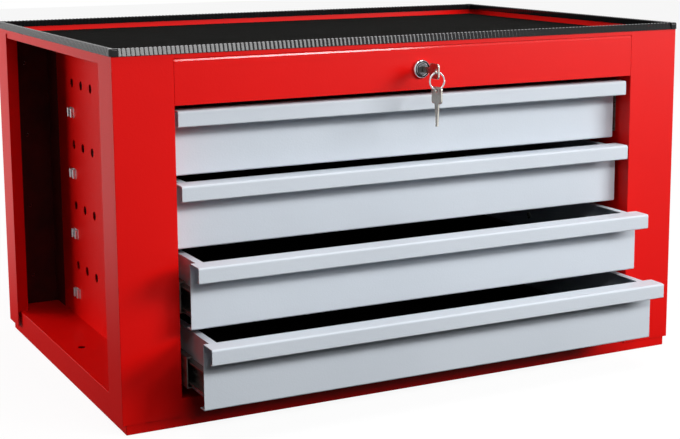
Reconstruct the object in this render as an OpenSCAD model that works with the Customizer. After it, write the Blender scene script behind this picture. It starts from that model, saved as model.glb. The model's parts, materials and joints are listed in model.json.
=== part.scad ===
// Bench-top tool chest: a folded sheet cabinet with four drawers on telescopic
// slides, a matted top tray and one central lock that holds every drawer.
// Millimetres. X runs to the right, Y to the rear and Z up.
// The origin is the middle of the base, at floor level.

/* [Cabinet] */
// Width over the two side frames
body_w = 680; // [640:5:740]
// Depth from the front face to the back of the back panel
body_d = 450; // [430:5:500]
// Thickness of the cabinet sheet
sheet = 1.2; // [0.8:0.1:1.5]
// Height of the base pan, up to the floor of the side recesses
base_h = 29; // [26:1:40]
// Height of the lower end of the posts above the ground
post_z0 = 10.5; // [6:0.5:16]
// Width of the front face of a post
post_w = 63; // [58:1:70]
// Width of a post's side flange beside the recess
flange_w = 42.5; // [36:0.5:50]
// Width of the lip that stiffens the free edge of a side flange
flange_lip_w = 13; // [8:0.5:20]
// Inset of the base pan from the side frames
base_side_inset = 4; // [2:0.5:8]
// Inset of the base pan from the back
base_rear_inset = 8; // [4:0.5:12]
// Height of the header panel above the drawers
header_h = 45.3; // [42:0.1:60]
// Height of the rail above the header panel
rail_h = 10; // [8:0.5:14]

/* [Top tray] */
// Depth of the tray below its rim
tray_depth = 14.5; // [12:0.5:16]
// Thickness of the top mat
mat_t = 3; // [2:0.5:4]
// Wall of the rubber edge trim
trim_wall = 1.8; // [1.2:0.1:2.5]
// Height of the edge trim's legs
trim_leg = 5.3; // [4:0.1:7]

/* [Drawers] */
// Height from one drawer to the next
drawer_pitch = 74; // [72:0.5:84]
// Height of a drawer front, lip included
front_h = 68.5; // [66:0.5:71]
// Drop of the pull lip at the front edge
lip_drop = 16.3; // [12:0.1:20]
// Depth of the finger space behind the pull lip
lip_depth = 23.4; // [20:0.1:28]
// Gap between a drawer front and each post
front_gap = 4.3; // [3:0.1:6]
// Distance of a closed drawer's lip behind the cabinet front
lip_setback = 2.5; // [0:0.5:5]
// Thickness of the drawer sheet
drawer_sheet = 1; // [0.8:0.1:1.2]
// Thickness of a drawer liner
liner_t = 2; // [1:0.5:3]
// How far each drawer stands open, from the top one down
drawer_open = [0, 6.2, 46.5, 77.2]; // [0:0.1:200]

/* [Slides] */
// Width of a telescopic slide between cabinet and drawer
slide_w = 13.2; // [12.7:0.1:14]
// Height of the fixed slide member
slide_h = 42; // [40:0.5:44]
// Distance of the slide's middle below the drawer lip's top
slide_drop = 40.5; // [39:0.5:42]

/* [Lock] */
// Diameter of the lock's bezel
bezel_d = 20.4; // [19.5:0.1:24]
// Diameter of the turning plug
plug_d = 12; // [11:0.5:13]
// Diameter of the rod from the plug to the rear crank
rod_d = 6; // [5:0.5:7]
// Radius of the crank that lifts the lock bar
crank_r = 11; // [9:0.5:12]
// Diameter over the outside of the key ring
ring_d = 19; // [17:0.5:24]

/* [Hidden] */

// Colours
red = "#d8201a";
grey = "#c6ccd6";
black = "#1d1f22";
zinc = "#9aa0a6";
chrome = "#d9dce0";
brass = "#b9a468";

// A cutter reaches this far past the face it opens
cut = 1;
// Clearance between sheets that only show a seam
seam = 0.4;
// Clearance between pieces that slide or swing past each other
play = 0.8;
// Radial clearance of a shaft in its bore
running = 0.05;

// Cabinet planes
side_x = body_w / 2;
front_y = -body_d / 2;
back_y = body_d / 2;
open_x = side_x - post_w;
wall_x = open_x + sheet;
return_d = 20;
panel_edge_y = back_y - flange_w;
back_inset = 2;
wall_flange_gap = [5, 10];

// Heights, built up from the floor
drawer_floor_gap = 2;
header_gap = 6;
lip_z4 = base_h + drawer_floor_gap + front_h;
function lip_z(i) = lip_z4 + drawer_pitch * (4 - i);
header_z0 = lip_z(1) + header_gap;
header_z1 = header_z0 + header_h;
rail_z = header_z1 + sheet;
rim_z = rail_z + rail_h;
deck_z = rim_z - tray_depth;
deck_z0 = deck_z - sheet;

// Base
base_x = side_x - base_side_inset;
base_y0 = front_y + sheet;
base_y1 = back_y - base_rear_inset;
base_return = 12;
bolt_hole_r = 4.5;
bolt_out = 6;
bolt_x = (base_x + wall_x + sheet) / 2 + bolt_out;
stiffener_w = 60;
stiffener_flange = 15;

// Perforations of the recess wall
wall_hole_r = 5.2;
wall_hole_y = [46.5, 83, 119.5];
wall_hole_drop = 4.5;
slot_y = 127;
slot_l = 24;
slot_h = 13;
hook_w = 4;
hook_h = 11;
hook_out = 3;

// Drawer planes, with the drawer closed
lip_y = front_y + lip_setback;
panel_y = lip_y + lip_depth;
tray_y0 = panel_y + drawer_sheet;
tray_rear_space = 33;
tray_y1 = back_y - tray_rear_space;
tray_x = wall_x - slide_w;
front_x = open_x - front_gap;
tray_under = 7;
tray_top_drop = 1.5;
tray_hem = 8;
hem_setback = 3;
liner_gap = 1;
front_return = 12;
lip_hem = 5;
function open_by(i) = drawer_open[i - 1];

// Slides, drawn from the cabinet wall towards the drawer
slide_end_space = 50;
slide_front_gap = 1;
slide_l = body_d - slide_end_space;
slide_y0 = tray_y0 + slide_front_gap;
slide_t = 1.2;
slide_tip = 2.8;
ball_gap = 3.6;
ball_r = 1.4;
middle_h = slide_h - 2 * slide_t - 2 * ball_gap;
inner_h = middle_h - 2 * slide_t - 2 * ball_gap;
outer_reach = 9.5;
middle_s0 = 3.2;
middle_reach = 10.4;
inner_s0 = 5.8;
cage_l = 150;
cage_w = 2.4;
cage_t = 0.8;
balls_per_cage = 3;
rivet_r = 2;
rivet_head_r = 4;
rivet_head_t = 1.5;
rivet_end = 40;
rivet_y = [rivet_end, slide_l / 2, slide_l - rivet_end];

// Lock
lock_below_middle = 0.5;
lock_z = (header_z0 + header_z1) / 2 - lock_below_middle;
bezel_t = 4;
housing_r = 9;
housing_l = 22;
nut_r = 13.5;
nut_t = 5;
plug_r = plug_d / 2;
plug_proud = 0.6;
plug_tail = 3.5;
plug_end_gap = 0.5;
key_t = 1.9;
key_blade_h = 6.4;
key_bow_l = 18;
key_bow_h = 16;
key_bow_corner = 3;
key_stem = 15;
key_blade_l = 24;
key_hole_r = 2.2;
key_hole_edge = 4;
key_slot_spare = 6;
key_notches = 3;
key_notch_pitch = 3;
key_notch_side = 1.4;
ring_wire_r = 0.8;
ring_play = 0.35;
rod_r = rod_d / 2;
rod_socket = 6;

// Rear lock gear
bar_rear_space = 11;
bar_y = back_y - bar_rear_space;
bar_t = 2;
bar_w = 20;
bar_end = 4;
finger_x = [4, 16];
finger_t = 2;
finger_rest = 1;
guide_rise = 44;
guide_h = 8;
guide_wall = 1.2;
catch_drop = 45;
catch_t = 1.6;
catch_reach = 11;
catch_h = 8;
catch_lap = 5.7;
crank_t = 3;
crank_gap = 4.4;
crank_half_w = 4;
crank_boss_wall = 3;
crank_y = bar_y - crank_gap - crank_t;
crank_pin_r = 2;
crank_pin_end = 1.5;
bar_lift = 2 * crank_r * sin(45);
bracket_gap = 3.6;
bracket_t = 3;
bracket_wall = 9;
bracket_foot = 12;
bracket_foot_t = 2;
bracket_y = crank_y - bracket_gap - bracket_t;
screw_r = 2;
screw_head_r = 4.5;
screw_head_t = 2.4;
screw_grip = 8;
screw_margin = 35;
screw_cross_w = 1;
screw_cross_l = 5;
screw_cross_depth = 1;

// A box between two opposite corners
module slab(lo, hi) {
    translate(lo) cube(hi - lo);
}

// The left-hand piece and its mirror image
module both_sides() {
    children();
    mirror([1, 0, 0]) children();
}

// A round bar along Y between two stations
module y_bar(r, y0, y1) {
    translate([0, y0, 0]) rotate([-90, 0, 0]) cylinder(r = r, h = y1 - y0, $fn = 48);
}

// A round bar along X between two stations
module x_bar(r, x0, x1) {
    translate([x0, 0, 0]) rotate([0, 90, 0]) cylinder(r = r, h = x1 - x0, $fn = 32);
}

// Base and floor

module base_pan() {
    color(red) difference() {
        slab([-base_x, base_y0, 0], [base_x, base_y1, base_h]);
        slab([-base_x + sheet, base_y0 + sheet, sheet], [base_x - sheet, base_y1 - sheet, base_h - sheet]);
        slab([-base_x + base_return, base_y0 + base_return, -cut],
             [base_x - base_return, base_y1 - base_return, sheet + cut]);
        both_sides() translate([bolt_x, 0, base_h - sheet - cut])
            cylinder(r = bolt_hole_r, h = sheet + 2 * cut, $fn = 40);
    }
}

module floor_stiffener() {
    w = stiffener_w / 2;
    top = base_h - sheet;
    color(red) rotate([90, 0, 90]) translate([0, 0, -wall_x]) linear_extrude(2 * wall_x) union() {
        translate([-w, 0]) square([2 * w, sheet]);
        for (s = [-1, 1]) {
            translate([s * (w - sheet / 2) - sheet / 2, 0]) square([sheet, top]);
            translate([s * (w + stiffener_flange / 2) - stiffener_flange / 2, top - sheet])
                square([stiffener_flange, sheet]);
        }
    }
}

// Side frame: front post, rear post and the rail that joins them over the recess

module side_frame() {
    color(red) difference() {
        union() {
            difference() {
                slab([-side_x, front_y, post_z0], [-side_x + sheet, back_y - sheet, rim_z]);
                slab([-side_x - cut, front_y + flange_w, post_z0 - cut],
                     [-side_x + sheet + cut, panel_edge_y, rail_z]);
            }
            slab([-side_x, front_y, post_z0], [-open_x, front_y + sheet, rim_z]);
            slab([-wall_x, front_y, base_h], [-open_x, front_y + return_d, deck_z0]);
            slab([-side_x, front_y + flange_w - sheet, base_h],
                 [-side_x + flange_lip_w, front_y + flange_w, deck_z0]);
            slab([-side_x, panel_edge_y, base_h], [-side_x + flange_lip_w, panel_edge_y + sheet, deck_z0]);
            slab([-side_x, back_y - 2 * sheet, post_z0], [-open_x, back_y - sheet, deck_z0]);
            slab([-wall_x - sheet, panel_edge_y, base_h], [-wall_x, back_y - sheet, deck_z0]);
        }
        back_screw_places() y_bar(screw_r + running, -screw_grip, cut);
    }
}

module side_frame_left() {
    side_frame();
}

module side_frame_right() {
    mirror([1, 0, 0]) side_frame();
}

module inner_panel() {
    color(red) difference() {
        union() {
            slab([-wall_x - sheet, front_y + 2 * sheet, base_h], [-wall_x, panel_edge_y, deck_z0]);
            slab([-wall_x, front_y + return_d + wall_flange_gap[0], deck_z0 - sheet],
                 [-wall_x + slide_w, panel_edge_y - wall_flange_gap[1], deck_z0]);
        }
        for (i = [1:4]) {
            for (y = wall_hole_y)
                translate([0, y, lip_z(i) - wall_hole_drop])
                    x_bar(wall_hole_r, -wall_x - sheet - cut, -wall_x + cut);
            for (y = [-slot_y, slot_y])
                translate([-wall_x - sheet / 2, y, lip_z(i) - slide_drop])
                    cube([sheet + 2 * cut, slot_l, slot_h], center = true);
        }
    }
}

module inner_panel_left() {
    inner_panel();
}

module inner_panel_right() {
    mirror([1, 0, 0]) inner_panel();
}

// Back panel and its screws

module back_screw_places() {
    screw_x = (side_x + open_x) / 2;
    z0 = base_h + screw_margin;
    z1 = deck_z0 - screw_margin;
    for (s = [-1, 1])
        for (k = [0:3])
            translate([s * screw_x, back_y, z0 + k * (z1 - z0) / 3]) children();
}

module back_panel() {
    color(red) difference() {
        slab([-side_x + back_inset, back_y - sheet, post_z0], [side_x - back_inset, back_y, rim_z]);
        back_screw_places() y_bar(screw_r + running, -screw_grip, cut);
    }
}

module back_screws() {
    color(zinc) back_screw_places() {
        y_bar(screw_r, -screw_grip, 0);
        difference() {
            y_bar(screw_head_r, 0, screw_head_t);
            for (a = [0, 90])
                translate([0, screw_head_t, 0]) rotate([0, a, 0])
                    cube([screw_cross_w, 2 * screw_cross_depth, screw_cross_l], center = true);
        }
    }
}

// Top tray, mat and edge trim

module top_tray() {
    x = side_x - sheet;
    y0 = front_y + sheet;
    y1 = back_y - sheet;
    color(red) union() {
        difference() {
            slab([-x, y0, deck_z0], [x, y1, rim_z]);
            slab([-x + sheet, y0 + sheet, deck_z], [x - sheet, y1 - sheet, rim_z + cut]);
        }
        slab([-open_x + seam, front_y, rail_z], [open_x - seam, y0 + sheet / 2, rim_z]);
    }
}

module top_mat() {
    gap = 1;
    x = side_x - 2 * sheet - gap;
    y = body_d / 2 - 2 * sheet - gap;
    color(black) slab([-x, -y, deck_z], [x, y, deck_z + mat_t]);
}

// A rectangle with round corners, grown by g from the cabinet's outline
module trim_outline(g, r) {
    x = side_x + g;
    y = body_d / 2 + g;
    union() {
        translate([-x + r, -y]) square([2 * (x - r), 2 * y]);
        translate([-x, -y + r]) square([2 * x, 2 * (y - r)]);
        for (sx = [-1, 1])
            for (sy = [-1, 1])
                translate([sx * (x - r), sy * (y - r)]) circle(r = r, $fn = 48);
    }
}

module edge_trim() {
    corner = 4;
    fold = 2 * sheet;
    crown = 0.4;
    z0 = rim_z - trim_leg;
    z1 = rim_z + trim_wall + crown;
    color(black) difference() {
        translate([0, 0, z0]) linear_extrude(z1 - z0) trim_outline(trim_wall, corner);
        difference() {
            slab([-side_x, front_y, z0 - cut], [side_x, back_y, rim_z]);
            slab([-side_x + fold, front_y + fold, z0 - 2 * cut],
                 [side_x - fold, back_y - fold, rim_z + cut]);
        }
        slab([-side_x + fold + trim_wall, front_y + fold + trim_wall, z0 - cut],
             [side_x - fold - trim_wall, back_y - fold - trim_wall, z1 + cut]);
    }
}

// Header panel with the lock

module at_lock() {
    translate([0, 0, lock_z]) children();
}

module header_panel() {
    x = open_x - seam;
    color(red) difference() {
        union() {
            slab([-x, front_y, header_z0], [x, front_y + sheet, header_z1]);
            slab([-x, front_y, header_z0], [x, front_y + return_d, header_z0 + sheet]);
            both_sides() slab([-open_x, front_y + sheet / 2, header_z0],
                              [-open_x + sheet, front_y + return_d, deck_z0]);
        }
        at_lock() y_bar(housing_r + running, front_y - cut, front_y + sheet + cut);
    }
}

module lock_housing() {
    color(chrome) at_lock() difference() {
        union() {
            y_bar(bezel_d / 2, front_y - bezel_t, front_y);
            y_bar(housing_r, front_y - bezel_t / 2, front_y + housing_l);
        }
        y_bar(plug_r + running, front_y - bezel_t - cut, front_y + housing_l + cut);
    }
}

module lock_nut() {
    color(zinc) at_lock() difference() {
        translate([0, front_y + sheet, 0]) rotate([-90, 0, 0]) cylinder(r = nut_r, h = nut_t, $fn = 6);
        y_bar(housing_r + running, front_y, front_y + sheet + nut_t + cut);
    }
}

plug_y0 = front_y - bezel_t - plug_proud;
plug_y1 = front_y + housing_l + plug_end_gap;
rod_y0 = plug_y1 + plug_tail - rod_socket;

module lock_plug() {
    color(zinc) at_lock() difference() {
        union() {
            y_bar(plug_r, plug_y0, plug_y1);
            y_bar(housing_r - seam, plug_y1, plug_y1 + plug_tail);
        }
        slab([-key_t / 2, plug_y0 - cut, -key_blade_h / 2],
             [key_t / 2, plug_y0 + key_blade_l - key_stem + key_slot_spare, key_blade_h / 2]);
        y_bar(rod_r + running, rod_y0, plug_y1 + plug_tail + cut);
    }
}

// A flat key: the blade points along +u and the bow's outer edge is at u = 0
module key_shape() {
    r = key_bow_corner;
    h = key_bow_h / 2;
    difference() {
        union() {
            translate([r, -h]) square([key_bow_l - 2 * r, 2 * h]);
            translate([0, -h + r]) square([key_bow_l, 2 * (h - r)]);
            for (u = [r, key_bow_l - r])
                for (s = [-1, 1])
                    translate([u, s * (h - r)]) circle(r = r, $fn = 32);
            translate([key_bow_l / 2, -key_blade_h / 2]) square([key_bow_l / 2 + key_blade_l, key_blade_h]);
        }
        translate([key_hole_edge, 0]) circle(r = key_hole_r, $fn = 32);
        for (k = [1:key_notches])
            translate([key_bow_l + key_blade_l - k * key_notch_pitch, key_blade_h / 2])
                rotate(45) square(key_notch_side, center = true);
    }
}

bow_y = plug_y0 - key_stem - key_bow_l;
hole_y = bow_y + key_hole_edge;
ring_r = ring_d / 2 - ring_wire_r;
ring_top = lock_z - key_hole_r + ring_wire_r + ring_play;
ring_z = ring_top - ring_r;

module key() {
    color(brass) translate([-key_t / 2, bow_y, lock_z]) rotate([90, 0, 90])
        linear_extrude(key_t) key_shape();
}

module key_ring() {
    color(chrome) translate([0, hole_y, ring_z]) rotate([90, 0, 0])
        rotate_extrude($fn = 96) translate([ring_r, 0]) circle(r = ring_wire_r, $fn = 24);
}

// Lock gear behind the drawers: rod, crank and the bar whose fingers hold the catches

module lock_rod() {
    color(zinc) at_lock() y_bar(rod_r, rod_y0, crank_y + crank_t);
}

module lock_crank() {
    color(zinc) at_lock() difference() {
        union() {
            y_bar(rod_r + crank_boss_wall, crank_y, crank_y + crank_t);
            rotate([0, -45, 0]) {
                slab([0, crank_y, -crank_half_w], [crank_r, crank_y + crank_t, crank_half_w]);
                translate([crank_r, 0, 0]) {
                    y_bar(crank_half_w, crank_y, crank_y + crank_t);
                    y_bar(crank_pin_r, crank_y, bar_y + bar_t + crank_pin_end);
                }
            }
        }
        y_bar(rod_r, crank_y - cut, crank_y + crank_t + cut);
    }
}

module rod_bracket() {
    w = rod_r + bracket_wall;
    color(zinc) difference() {
        union() {
            slab([-w, bracket_y, lock_z - w], [w, bracket_y + bracket_t, deck_z0]);
            slab([-w, bracket_y - bracket_foot, deck_z0 - bracket_foot_t],
                 [w, bracket_y + bracket_t, deck_z0]);
        }
        at_lock() y_bar(rod_r + running, bracket_y - cut, bracket_y + bracket_t + cut);
    }
}

function catch_z(i) = lip_z(i) - catch_drop;
slot_mid_z = lock_z + crank_r * sin(45);

module lock_bar() {
    slot_half = crank_pin_r + play;
    hook_y = tray_y1 + catch_lap;
    color(zinc) difference() {
        union() {
            slab([0, bar_y, catch_z(4) + bar_lift],
                 [bar_w, bar_y + bar_t, slot_mid_z + slot_half + bar_end]);
            for (i = [1:4]) {
                z = catch_z(i) + catch_t + finger_rest + bar_lift;
                top = z + catch_h + finger_t;
                slab([finger_x[0], hook_y, z + catch_h], [finger_x[1], bar_y + bar_t / 2, top]);
                slab([finger_x[0], hook_y, z], [finger_x[1], hook_y + finger_t, top]);
            }
        }
        slab([crank_r * cos(45) - slot_half, bar_y - cut, slot_mid_z - slot_half],
             [crank_r + slot_half, bar_y + bar_t + cut, slot_mid_z + slot_half]);
    }
}

module lock_bar_guides() {
    x0 = -play;
    x1 = bar_w + play;
    y0 = bar_y - play - guide_wall;
    y1 = back_y - sheet;
    color(zinc) for (i = [1, 3]) translate([0, 0, catch_z(i) + guide_rise]) difference() {
        slab([x0 - guide_wall, y0, 0], [x1 + guide_wall, y1, guide_h]);
        slab([x0, bar_y - play, -cut], [x1, bar_y + bar_t + play, guide_h + cut]);
        slab([finger_x[0] - play, y0 - cut, -cut], [finger_x[1] + play, bar_y, guide_h + cut]);
    }
}

// Drawers

// Puts a drawer's piece at its height and as far out as the drawer stands open
module at_drawer(i, share = 1) {
    translate([0, -open_by(i) * share, lip_z(i)]) children();
}

module drawer_front(i) {
    t = drawer_sheet;
    color(grey) at_drawer(i) {
        slab([-front_x, panel_y, -front_h], [front_x, panel_y + t, 0]);
        slab([-front_x, lip_y, -t], [front_x, panel_y + t, 0]);
        slab([-front_x, lip_y, -lip_drop], [front_x, lip_y + t, 0]);
        slab([-front_x, lip_y, -lip_drop], [front_x, lip_y + lip_hem, -lip_drop + t]);
        slab([-front_x, panel_y, -front_h], [front_x, panel_y + front_return, -front_h + t]);
    }
}

// Places of the rivets that hold a slide's inner member to the left drawer side
module rivet_places() {
    for (y = rivet_y) translate([-tray_x, slide_y0 + y, -slide_drop]) children();
}

module drawer_tray(i) {
    t = drawer_sheet;
    z0 = -front_h + tray_under;
    z1 = -tray_top_drop;
    color(grey) at_drawer(i) difference() {
        union() {
            difference() {
                slab([-tray_x, tray_y0, z0], [tray_x, tray_y1, z1]);
                slab([-tray_x + t, tray_y0 + t, z0 + t], [tray_x - t, tray_y1 - t, z1 + cut]);
            }
            both_sides() slab([-tray_x, tray_y0 + hem_setback, z1 - t], [-tray_x + tray_hem, tray_y1, z1]);
            slab([finger_x[0], tray_y1 - t / 2, -catch_drop],
                 [finger_x[1], tray_y1 + catch_reach, -catch_drop + catch_t]);
            slab([finger_x[0], tray_y1 + catch_reach - catch_t, -catch_drop],
                 [finger_x[1], tray_y1 + catch_reach, -catch_drop + catch_h]);
        }
        both_sides() rivet_places() x_bar(rivet_r, -cut, t + cut);
    }
}

module drawer_liner(i) {
    inset = drawer_sheet + liner_gap;
    z0 = -front_h + tray_under + drawer_sheet;
    color(black) at_drawer(i)
        slab([-tray_x + inset, tray_y0 + inset, z0], [tray_x - inset, tray_y1 - inset, z0 + liner_t]);
}

module slide_rivets(i) {
    t = drawer_sheet;
    color(zinc) at_drawer(i) both_sides() rivet_places() {
        x_bar(rivet_r, -slide_t, t);
        x_bar(rivet_head_r, t, t + rivet_head_t);
    }
}

// Cross-section of a slide member: a channel from s0 to s1 with tips turned in.
// Its web is at s0 on the fixed and middle members, and at the far side on the inner one.
module slide_section(s0, s1, h, tip, web_at_s0) {
    web_s = web_at_s0 ? s0 : s1 - slide_t;
    tip_s = web_at_s0 ? s1 - slide_t : s0;
    translate([web_s, -h / 2]) square([slide_t, h]);
    for (z = [-h / 2, h / 2 - slide_t])
        translate([s0, z]) square([s1 - s0, slide_t]);
    for (z = [-h / 2, h / 2 - tip])
        translate([tip_s, z]) square([slide_t, tip]);
}

// A left-hand and a right-hand slide member; s is measured from the cabinet wall
module slide_pair(s0, s1, h, tip, web_at_s0) {
    both_sides() translate([-wall_x, slide_y0 + slide_l, -slide_drop]) rotate([90, 0, 0])
        linear_extrude(slide_l) slide_section(s0, s1, h, tip, web_at_s0);
}

module slide_outer(i) {
    color(zinc) translate([0, 0, lip_z(i)]) union() {
        slide_pair(0, outer_reach, slide_h, slide_tip, true);
        both_sides() for (y = [-slot_y, slot_y])
            for (side = [-1, 1])
                translate([-wall_x - sheet - hook_out, y + side * slot_l / 4, -slide_drop])
                    translate([0, -hook_w / 2, -hook_h / 2])
                        cube([sheet + hook_out + slide_t / 2, hook_w, hook_h]);
    }
}

module slide_middle(i) {
    color(zinc) at_drawer(i, 0.5)
        slide_pair(middle_s0, middle_reach, middle_h, slide_tip, true);
}

module slide_inner(i) {
    color(zinc) at_drawer(i) difference() {
        slide_pair(inner_s0, slide_w, inner_h, slide_t, false);
        both_sides() rivet_places() x_bar(rivet_r, -slide_t - cut, cut);
    }
}

// One row of balls in its cage strip, s from the wall and z from the slide's middle
module ball_row(s, z) {
    translate([-wall_x + s, slide_y0 + slide_l / 2, -slide_drop + z]) {
        cube([cage_w, cage_l, cage_t], center = true);
        for (k = [1:balls_per_cage])
            translate([0, (k / (balls_per_cage + 1) - 0.5) * cage_l, 0]) sphere(r = ball_r, $fn = 24);
    }
}

module ball_cages(i) {
    outer_z = middle_h / 2 + ball_gap / 2;
    inner_z = inner_h / 2 + ball_gap / 2;
    color(zinc) at_drawer(i, 0.5) both_sides() for (side = [-1, 1]) {
        ball_row((middle_s0 + outer_reach - slide_t) / 2, side * outer_z);
        ball_row((inner_s0 + middle_reach - slide_t) / 2, side * inner_z);
    }
}

base_pan();
floor_stiffener();
side_frame_left();
side_frame_right();
inner_panel_left();
inner_panel_right();
back_panel();
back_screws();
top_tray();
edge_trim();
top_mat();
header_panel();
lock_housing();
lock_nut();
lock_plug();
key();
lock_rod();
lock_crank();
rod_bracket();
lock_bar();
lock_bar_guides();
key_ring();
for (i = [1:4]) {
    drawer_front(i);
    drawer_tray(i);
    drawer_liner(i);
    slide_rivets(i);
    slide_inner(i);
    slide_middle(i);
    ball_cages(i);
    slide_outer(i);
}
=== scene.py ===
# %% [markdown]
# # A bench-top tool chest, dressed around its CAD frame
# The CAD model already holds every sheet, slide and lock part at its true size and place. This lesson
# gives those parts the look of the real chest: folds get their bend radius, the rubber gets its ribs,
# the keys get their ring, and every surface gets a finish that is made from nodes.
#
# We load the frame first and keep its box, because the dressed chest has to stay inside it.

import json
import math

import bmesh
import bpy
from mathutils import Matrix, Vector


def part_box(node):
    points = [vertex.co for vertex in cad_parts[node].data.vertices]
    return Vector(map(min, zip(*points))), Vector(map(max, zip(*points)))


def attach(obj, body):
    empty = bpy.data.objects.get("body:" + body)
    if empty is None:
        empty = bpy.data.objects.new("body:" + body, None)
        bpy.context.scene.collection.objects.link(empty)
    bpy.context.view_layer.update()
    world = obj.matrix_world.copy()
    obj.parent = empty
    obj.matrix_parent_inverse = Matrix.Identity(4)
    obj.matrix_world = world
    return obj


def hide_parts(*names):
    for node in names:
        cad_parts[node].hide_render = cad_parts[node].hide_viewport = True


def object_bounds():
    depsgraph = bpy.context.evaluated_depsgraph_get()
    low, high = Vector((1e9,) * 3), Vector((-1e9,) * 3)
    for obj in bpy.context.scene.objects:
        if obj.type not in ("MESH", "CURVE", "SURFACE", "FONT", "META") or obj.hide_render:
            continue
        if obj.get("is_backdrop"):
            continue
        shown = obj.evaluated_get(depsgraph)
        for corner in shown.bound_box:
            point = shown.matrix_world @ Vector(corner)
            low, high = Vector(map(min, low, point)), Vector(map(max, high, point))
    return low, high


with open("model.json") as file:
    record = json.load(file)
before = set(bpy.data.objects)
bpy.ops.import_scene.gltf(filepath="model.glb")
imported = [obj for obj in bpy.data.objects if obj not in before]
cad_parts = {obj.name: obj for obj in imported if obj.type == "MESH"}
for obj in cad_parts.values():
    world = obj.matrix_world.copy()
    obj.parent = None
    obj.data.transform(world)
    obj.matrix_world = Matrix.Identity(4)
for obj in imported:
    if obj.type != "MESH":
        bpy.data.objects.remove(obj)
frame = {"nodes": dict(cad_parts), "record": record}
cad_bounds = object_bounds()
NODE = frame["nodes"]
MM = 0.001
DRAWERS = (1, 2, 3, 4)
print("CAD nodes:", len(NODE), "box:", [round(v / MM, 1) for corner in cad_bounds for v in corner])

# %% [markdown]
# ## The camera
# The photograph was taken from the left of the chest, a little above its top. A lens of about 77 mm on
# a 36 mm sensor gives the same perspective, and a small shift keeps the uprights upright, as a
# photographer does by raising the lens and not tilting the camera. The direction is written as an
# azimuth, an elevation and a roll, because those are easy to picture and to correct.

# %% Camera
IMAGE_W = 680
SENSOR_MM = 36.0
FOCAL_PX = 1448.47
SHIFT_PX = 60.0
CAMERA_PLACE = Vector((-0.76333, -1.55256, 0.50600))
AZIMUTH, ELEVATION, ROLL = (math.radians(a) for a in (-26.6661, 9.3985, -0.3840))

level_reach = math.cos(ELEVATION)
back = Vector((math.sin(AZIMUTH) * level_reach, -math.cos(AZIMUTH) * level_reach, math.sin(ELEVATION)))
aim = (-back).to_track_quat("-Z", "Y").to_matrix() @ Matrix.Rotation(ROLL, 3, "Z")
bpy.ops.object.camera_add(location=CAMERA_PLACE, rotation=aim.to_euler())
camera = bpy.context.object
camera.name = "photo_camera"
camera.data.sensor_width = SENSOR_MM
camera.data.lens = FOCAL_PX / IMAGE_W * SENSOR_MM
camera.data.shift_y = -SHIFT_PX / IMAGE_W
bpy.context.scene.camera = camera
print("lens", round(camera.data.lens, 2), "mm, shift", round(camera.data.shift_y, 4))

# %% [markdown]
# ## The studio
# The chest stands on a white sweep in a dim room. The camera, mirrors and glass see that room as white,
# which keeps the background white without pouring more light on the paint. The front is lit by two
# soft boxes. The key stands in front on the left and glints on the ribs of the trim; the right one
# lifts the other side and leaves a shadow under every pull lip. A low box next to it is only mirrored,
# as the sheen on the right half of the paint, and a narrow one draws the line on the header's edge.
# Two small boxes hang above, and two stand behind, on the left and on the right. The boxes that would
# leave bright spots on rubber and paint are hidden from mirrored rays.

# %% World and view
scene = bpy.context.scene
scene.view_settings.view_transform = "Standard"
ROOM_LEVEL = 0.045


def maths(tree, operation, first, second):
    """Output of a Math node whose two inputs are sockets or numbers."""
    node = tree.nodes.new("ShaderNodeMath")
    node.operation = operation
    for socket, value in zip(node.inputs, (first, second)):
        if isinstance(value, (int, float)):
            socket.default_value = value
        else:
            tree.links.new(value, socket)
    return node.outputs[0]


world = bpy.data.worlds.new("studio_room")
scene.world = world
world.use_nodes = True
tree = world.node_tree
tree.nodes.clear()
world_out = tree.nodes.new("ShaderNodeOutputWorld")
room = tree.nodes.new("ShaderNodeBackground")
room.inputs["Color"].default_value = (0.97, 0.985, 1.0, 1.0)
room.inputs["Strength"].default_value = ROOM_LEVEL
white = tree.nodes.new("ShaderNodeBackground")
white.inputs["Color"].default_value = (1.0, 1.0, 1.0, 1.0)
white.inputs["Strength"].default_value = 1.0
ray = tree.nodes.new("ShaderNodeLightPath").outputs
seen = maths(tree, "MAXIMUM", ray["Is Camera Ray"], ray["Is Transmission Ray"])
seen_or_mirrored = maths(tree, "MAXIMUM", seen, ray["Is Glossy Ray"])
sky = tree.nodes.new("ShaderNodeMixShader")
tree.links.new(seen_or_mirrored, sky.inputs["Fac"])
tree.links.new(room.outputs[0], sky.inputs[1])
tree.links.new(white.outputs[0], sky.inputs[2])
tree.links.new(sky.outputs[0], world_out.inputs["Surface"])
print("room light", ROOM_LEVEL)


# %% Soft boxes
def soft_box(name, place, target, size, watts):
    bpy.ops.object.light_add(type="AREA", location=place)
    lamp = bpy.context.object
    lamp.name = name
    lamp.data.shape = "RECTANGLE"
    lamp.data.size, lamp.data.size_y = size
    lamp.data.energy = watts
    lamp.rotation_euler = (Vector(target) - Vector(place)).to_track_quat("-Z", "Y").to_euler()
    print(name, watts, "W", size, "m")
    return lamp


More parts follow.
